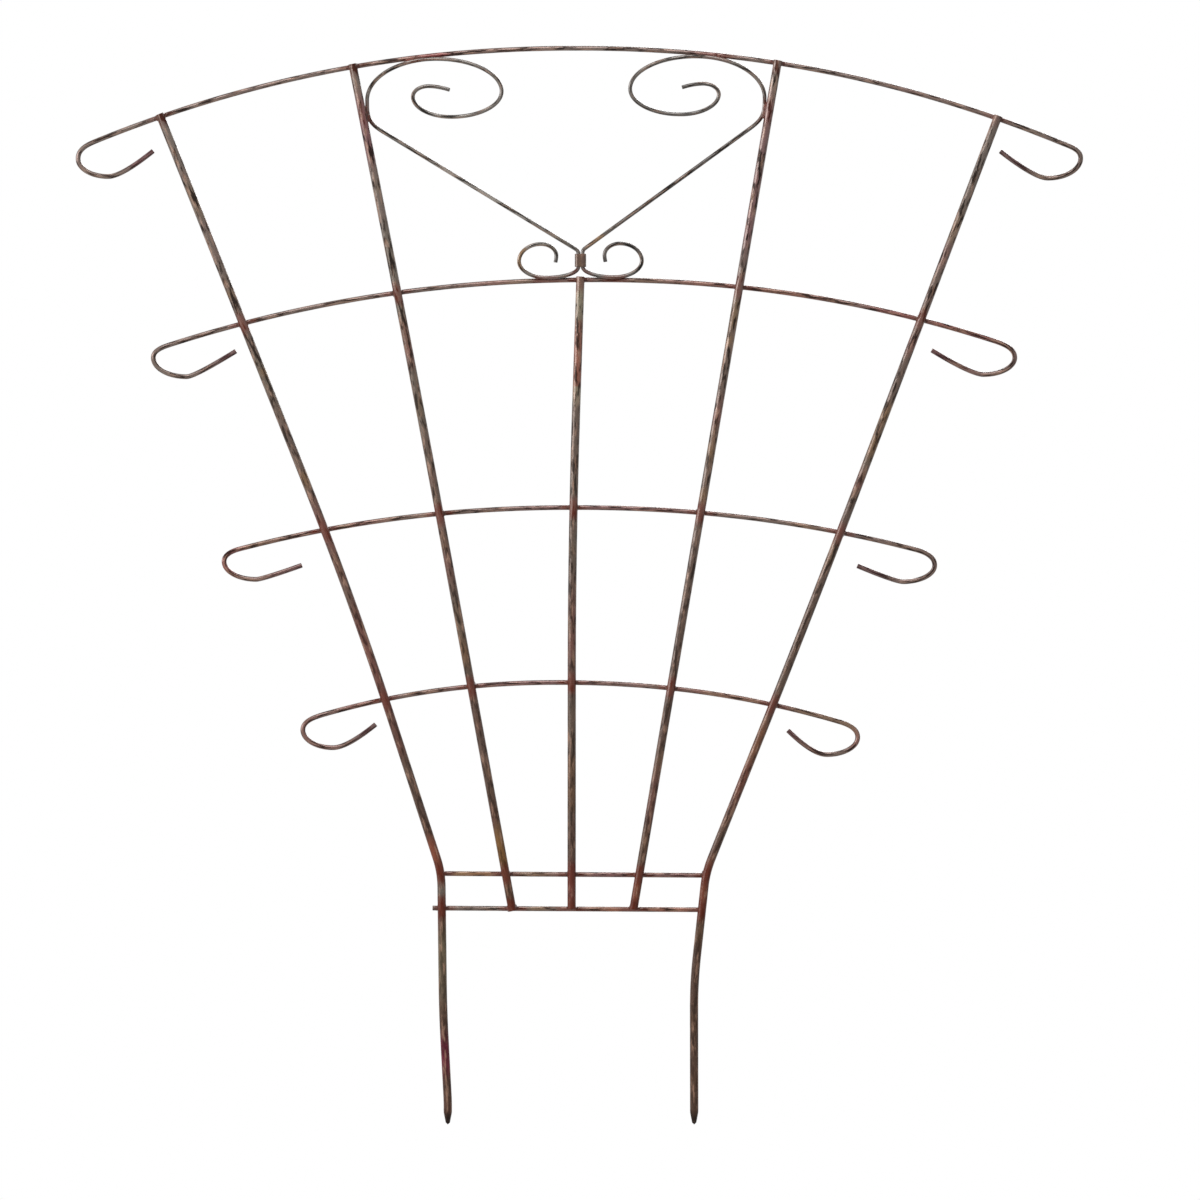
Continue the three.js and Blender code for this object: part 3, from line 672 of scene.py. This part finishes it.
bead = {
    "kinds": {
        "crossing": {"reach": 0.0125, "fillet": 0.0075, "dropSpread": (0.0042, 0.0054)},
        "seat": {"reach": 0.0135, "fillet": 0.0042, "dropSpread": (0.006, 0.0016)},
    },
    "filletShares": (0.85, 1.1), "leastFilletShare": 0.02, "fadePower": 3, "sunk": 0.00018,
    "lumpHeight": 0.0008, "lumpLength": 0.0045, "lumpWaves": 7,
    "rippleHeight": 0.00009, "rippleLength": 0.0021, "rippleBow": 60.0,
    "drops": 3, "dropRadius": 0.0019, "dropShares": (0.7, 1.1), "dropFillet": 0.0012,
    "stretchShare": 2, "shortOfEnd": 0.0002, "subdivisions": 6, "halvings": 14, "smoothing": 5,
    "keptShare": 0.4,
}


def partnersOf(weldName):
    # the two rods that a bead joins, found in its name
    rest = weldName.removeprefix("weld_")
    first = next(name for name in archNames + crossbarNames + scrollNames if rest.startswith(name))
    second = rest.removeprefix(f"{first}_")
    return first, second if second in rails else f"{second}_upright"


def stretchNear(name, spot, reach):
    # the short stretch of a rod round a spot, with the ends of the rod that lie in it
    places, radii = lines[name]["places"], lines[name]["radii"]
    near = np.flatnonzero(np.linalg.norm(places - spot, axis=1) < reach * bead["stretchShare"])
    first, last = near[0], near[-1] + 1
    caps = []
    if first == 0:
        caps.append((places[0], places[0] - places[1]))
    if last == len(places):
        caps.append((places[-1], places[-1] - places[-2]))
    return {"starts": places[first:last - 1], "runs": np.diff(places[first:last], axis=0),
            "radii": radii[first:last - 1], "caps": caps}


def pastEnds(stretch, spots):
    # how far each spot lies past the flat end of the rod, where an end is near
    past = np.full(len(spots), -np.inf)
    for end, outward in stretch["caps"]:
        past = np.maximum(past, (spots - end) @ (outward / np.linalg.norm(outward)))
    return past


def distanceTo(stretch, spots):
    # signed distance of each spot to the skin of a stretch, cut flat at the ends of the rod
    best = np.full(len(spots), np.inf)
    for start, run, radius in zip(stretch["starts"], stretch["runs"], stretch["radii"]):
        share = np.clip((spots - start) @ run / (run @ run), 0, 1)
        best = np.minimum(best, np.linalg.norm(spots - start - share[:, None] * run, axis=1) - radius)
    return np.maximum(best, pastEnds(stretch, spots))


def footOn(stretch, spot):
    # the place on the middle of a stretch nearest to a spot, with the direction and the radius there
    shares = np.clip(((spot - stretch["starts"]) * stretch["runs"]).sum(axis=1)
                     / (stretch["runs"] ** 2).sum(axis=1), 0, 1)
    feet = stretch["starts"] + shares[:, None] * stretch["runs"]
    nearest = np.argmin(np.linalg.norm(feet - spot, axis=1))
    run = stretch["runs"][nearest]
    return feet[nearest], run / np.linalg.norm(run), stretch["radii"][nearest]


def melted(first, second, width):
    # smooth union of two distances, and how much of it is fillet
    share = np.clip(0.5 + 0.5 * (second - first) / width, 0, 1)
    fillet = share * (1 - share)
    return second * (1 - share) + first * share - width * fillet, 4 * fillet


def jointAt(weldName):
    # the stretches of both rods, the place where they touch, and the directions along and beside the first
    names = partnersOf(weldName)
    kind = bead["kinds"]["seat" if names[0] in scrollNames else "crossing"]
    spot = np.array(middleOf(weldName))
    stretches = [stretchNear(name, spot, kind["reach"]) for name in names]
    foot, along, radius = footOn(stretches[0], spot)
    across = footOn(stretches[1], spot)[0] - foot
    towards = across / np.linalg.norm(across)
    return {"kind": kind, "stretches": stretches, "centre": foot + towards * radius, "along": along,
            "sideways": np.cross(towards, along)}


def drawnShape(joint, seed):
    # what makes each bead its own: the width of its fillet, the waves of its lumps, and a few round drops
    draws = np.random.default_rng(seed)
    fillet = joint["kind"]["fillet"] * draws.uniform(*bead["filletShares"])
    waves = draws.normal(size=(bead["lumpWaves"], 3))
    waves *= (2 * math.pi / bead["lumpLength"]) / np.linalg.norm(waves, axis=1, keepdims=True)
    phases = draws.uniform(0, 2 * math.pi, bead["lumpWaves"])
    spread = joint["kind"]["dropSpread"]
    drops = []
    for _ in range(bead["drops"]):
        angle = draws.uniform(0, 2 * math.pi)
        lengthwise = spread[0] * math.cos(angle) * joint["along"]
        offset = lengthwise + spread[1] * math.sin(angle) * joint["sideways"]
        drops.append((joint["centre"] + offset, bead["dropRadius"] * draws.uniform(*bead["dropShares"])))
    return {"fillet": fillet, "waves": waves, "phases": phases, "drops": drops}


def distanceToBead(joint, shape, spots):
    # both rods melted together with the drops, and lumps and ripples where it is fillet
    local = spots - joint["centre"]
    left = 1 - (np.linalg.norm(local, axis=1) / joint["kind"]["reach"]) ** bead["fadePower"]
    width = shape["fillet"] * np.clip(left, bead["leastFilletShare"], 1)
    rods = [distanceTo(stretch, spots) + bead["sunk"] for stretch in joint["stretches"]]
    skin, join = melted(*rods, width)
    for centre, radius in shape["drops"]:
        drop = np.linalg.norm(spots - centre, axis=1) - radius
        skin = melted(skin, drop, bead["dropFillet"])[0]
    lumps = np.cos(local @ shape["waves"].T + shape["phases"]).mean(axis=1) * bead["lumpHeight"]
    bow = bead["rippleBow"] * (local @ joint["sideways"]) ** 2
    turns = (local @ joint["along"] + bow) / bead["rippleLength"]
    ripples = np.sin(turns * 2 * math.pi) * bead["rippleHeight"]
    skin = skin - (lumps + ripples) * join * np.clip(left, 0, 1)
    past = np.maximum(*[pastEnds(stretch, spots) for stretch in joint["stretches"]])
    return np.maximum(skin, past + bead["shortOfEnd"])


def grownBall(name, joint, shape):
    # a ball from inside the joint, each corner let out until it meets the skin of the bead
    ball = bmesh.new()
    bmesh.ops.create_icosphere(ball, subdivisions=bead["subdivisions"], radius=1.0)
    mesh = bpy.data.meshes.new(name)
    ball.to_mesh(mesh)
    ball.free()
    directions = cornersOf(mesh).astype(float)
    inner = np.zeros(len(directions))
    outer = np.full(len(directions), joint["kind"]["reach"])
    for _ in range(bead["halvings"]):
        middle = (inner + outer) / 2
        isInside = distanceToBead(joint, shape, joint["centre"] + directions * middle[:, None]) < 0
        inner = np.where(isInside, middle, inner)
        outer = np.where(isInside, outer, middle)
    grown = joint["centre"] + directions * inner[:, None]
    mesh.vertices.foreach_set("co", grown.astype(np.float32).ravel())
    mesh.shade_smooth()
    return mesh


def makeBead(weldName, seed):
    joint = jointAt(weldName)
    mesh = grownBall(f"{weldName}_ball", joint, drawnShape(joint, seed))
    mesh.materials.append(materials["weld"])
    holder = linked(f"{weldName}_ball", mesh)
    softer = holder.modifiers.new("softer", "SMOOTH")
    softer.iterations = bead["smoothing"]
    thinner = holder.modifiers.new("fewerFaces", "DECIMATE")
    thinner.ratio = bead["keptShare"]
    skin = plainMesh(holder, f"{weldName}_skin")
    keepInside(skin)
    pieceFrom(skin, f"{weldName}_bead", weldName)


for index, name in enumerate(weldNames):
    makeBead(name, index)
print("Beads laid:", len(weldNames))


# Collar: a strip bent once round both scroll wires, pinched in between them, its ends closed up behind

collar = {
    "wall": 0.0014, "corner": 0.0032, "cornerPoints": 12, "gap": 0.0004, "pinch": 0.0005,
    "pinchWidth": 0.0024, "step": 0.0004, "rows": 24, "dent": 0.00022, "dentLength": 0.0028,
    "edge": 0.0004, "edgeSegments": 3, "edgeAngle": 50,
}


def collarPath(halfWide, halfDeep):
    # places and outward directions along the middle of the strip, from the seam behind all the way round
    corner = collar["corner"]
    wide, deep = halfWide - corner, halfDeep - corner
    spots = [(-collar["gap"] / 2, halfDeep)]
    for centreWide, centreDeep, halfTurns in ((-wide, deep, 0.5), (-wide, -deep, 1.0), (wide, -deep, 1.5),
                                              (wide, deep, 2.0)):
        for share in np.linspace(0, 1, collar["cornerPoints"]):
            angle = math.pi * (halfTurns + share / 2)
            spots.append((centreWide + corner * math.cos(angle), centreDeep + corner * math.sin(angle)))
    spots.append((collar["gap"] / 2, halfDeep))
    spots = np.array(spots)
    travelled = np.concatenate([[0], np.cumsum(np.linalg.norm(np.diff(spots, axis=0), axis=1))])
    evenly = np.linspace(0, travelled[-1], math.ceil(travelled[-1] / collar["step"]))
    path = np.stack([np.interp(evenly, travelled, spots[:, side]) for side in (0, 1)], axis=1)
    runs = np.gradient(path, axis=0)
    outward = np.stack([runs[:, 1], -runs[:, 0]], axis=1)
    return path, outward / np.linalg.norm(outward, axis=1, keepdims=True)


def collarStrip(low, high):
    # the strip without its thickness, row by row from the bottom, pinched in front and slightly dented
    centre = (low + high) / 2
    path, outward = collarPath((high.x - low.x - collar["wall"]) / 2, (high.y - low.y - collar["wall"]) / 2)
    pinch = collar["pinch"] * np.exp(-(path[:, 0] / collar["pinchWidth"]) ** 2) * (path[:, 1] < 0)
    band = bmesh.new()
    rows = []
    for height in np.linspace(low.z, high.z, collar["rows"]):
        dents = [noise.noise(Vector((x, y, height)) / collar["dentLength"]) for x, y in path]
        inward = pinch + collar["dent"] * np.clip(dents, 0, 1)
        spots = path - outward * inward[:, None]
        rows.append([band.verts.new((centre.x + x, centre.y + y, height)) for x, y in spots])
    for lower, upper in zip(rows, rows[1:]):
        for index in range(len(lower) - 1):
            band.faces.new((lower[index], lower[index + 1], upper[index + 1], upper[index]))
    mesh = bpy.data.meshes.new("scroll_collar_strip")
    band.to_mesh(mesh)
    band.free()
    mesh.shade_smooth()
    return mesh


def makeCollar():
    mesh = collarStrip(*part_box("scroll_collar"))
    mesh.materials.append(materials["collar"])
    holder = linked("scroll_collar_strip", mesh)
    wall = holder.modifiers.new("wall", "SOLIDIFY")
    wall.thickness = collar["wall"]
    wall.offset = 0.0
    addBevel(holder, "edge", collar["edge"], collar["edgeSegments"], collar["edgeAngle"])
    skin = plainMesh(holder, "scroll_collar_skin")
    keepInside(skin)
    pieceFrom(skin, "scroll_collar_band", "scroll_collar")


makeCollar()
print("Collar wrapped")


# Stage, light and camera

studio = {
    "floorSize": 16.0, "floorColour": "#e9e7e3", "floorRoughness": 0.9, "floorGlow": 0.55, "fadeFrom": 1.6,
    "fadeTo": 5.0, "worldLevel": 0.2, "aim": (0.0, 0.0, 0.8),
    "lamps": {
        "keyLamp": {"place": (-3.2, -1.5, 1.5), "power": 115.0, "size": (3.4, 1.7)},
        "topLamp": {"place": (-0.3, -1.9, 3.5), "power": 85.0, "size": (2.4, 1.8)},
        "backLamp": {"place": (0.9, 3.0, 2.2), "power": 60.0, "size": (1.8, 1.4)},
    },
}
photo = {
    "pixel": 0.00113, "width": 1200, "originAcross": 571, "originDown": 1124.5, "cameraDistance": 6.0,
    "farthest": 50.0,
}


def whiteToCamera(tree):
    # 1 for rays that should see plain white, 0 for the light on the object
    path = addNode(tree, "ShaderNodeLightPath").outputs
    seen = calculated(tree, "MAXIMUM", path["Is Camera Ray"], path["Is Glossy Ray"])
    return calculated(tree, "MAXIMUM", seen, path["Is Transmission Ray"])


def makeFloor():
    # pale near the object, where its shadow falls, and plain white farther out
    half = studio["floorSize"] / 2
    mesh = bpy.data.meshes.new("floor")
    corners = [(-half, -half, 0), (half, -half, 0), (half, half, 0), (-half, half, 0)]
    mesh.from_pydata(corners, [], [(0, 1, 2, 3)])
    floor = linked("floor", mesh)
    material = bpy.data.materials.new("paleFloor")
    material.use_nodes = True
    tree = material.node_tree
    shader = tree.nodes["Principled BSDF"]
    shader.inputs["Base Color"].default_value = colourOf(studio["floorColour"])
    shader.inputs["Roughness"].default_value = studio["floorRoughness"]
    place = addNode(tree, "ShaderNodeTexCoord").outputs["Object"]
    away = addNode(tree, "ShaderNodeVectorMath", {0: place}, operation="LENGTH").outputs["Value"]
    fade = ranged(tree, away, studio["fadeFrom"], studio["fadeTo"], studio["floorGlow"], 1.0)
    glow = addNode(tree, "ShaderNodeEmission", {"Color": (1, 1, 1, 1), "Strength": 1.0}).outputs[0]
    share = calculated(tree, "MULTIPLY", whiteToCamera(tree), fade)
    mixed = addNode(tree, "ShaderNodeMixShader", {0: share, 1: shader.outputs[0], 2: glow}).outputs[0]
    tree.links.new(mixed, tree.nodes["Material Output"].inputs["Surface"])
    mesh.materials.append(material)


def makeWorld():
    world = bpy.data.worlds.new("studio")
    bpy.context.scene.world = world
    world.use_nodes = True
    tree = world.node_tree
    background = tree.nodes["Background"]
    background.inputs["Color"].default_value = (1, 1, 1, 1)
    level = studio["worldLevel"]
    strength = calculated(tree, "MULTIPLY_ADD", whiteToCamera(tree), 1 - level, level)
    tree.links.new(strength, background.inputs["Strength"])


def addLamp(name, place, power, size):
    lamp = bpy.data.lights.new(name, "AREA")
    lamp.energy = power
    lamp.shape = "RECTANGLE"
    lamp.size, lamp.size_y = size
    holder = linked(name, lamp)
    holder.location = place
    holder.rotation_euler = (Vector(studio["aim"]) - Vector(place)).to_track_quat("-Z", "Y").to_euler()


def makeCamera():
    # square on to the front, with the photograph's frame
    camera = bpy.data.cameras.new("camera")
    camera.type = "ORTHO"
    camera.ortho_scale = photo["pixel"] * photo["width"]
    camera.clip_end = photo["farthest"]
    holder = linked("camera", camera)
    across = (photo["width"] / 2 - photo["originAcross"]) * photo["pixel"]
    up = (photo["originDown"] - photo["width"] / 2) * photo["pixel"]
    holder.location = (across, -photo["cameraDistance"], up)
    holder.rotation_euler = (math.pi / 2, 0, 0)
    bpy.context.scene.camera = holder


makeFloor()
makeWorld()
for name, lamp in studio["lamps"].items():
    addLamp(name, **lamp)
makeCamera()
bpy.context.scene.view_settings.view_transform = "Standard"
print("Studio set")
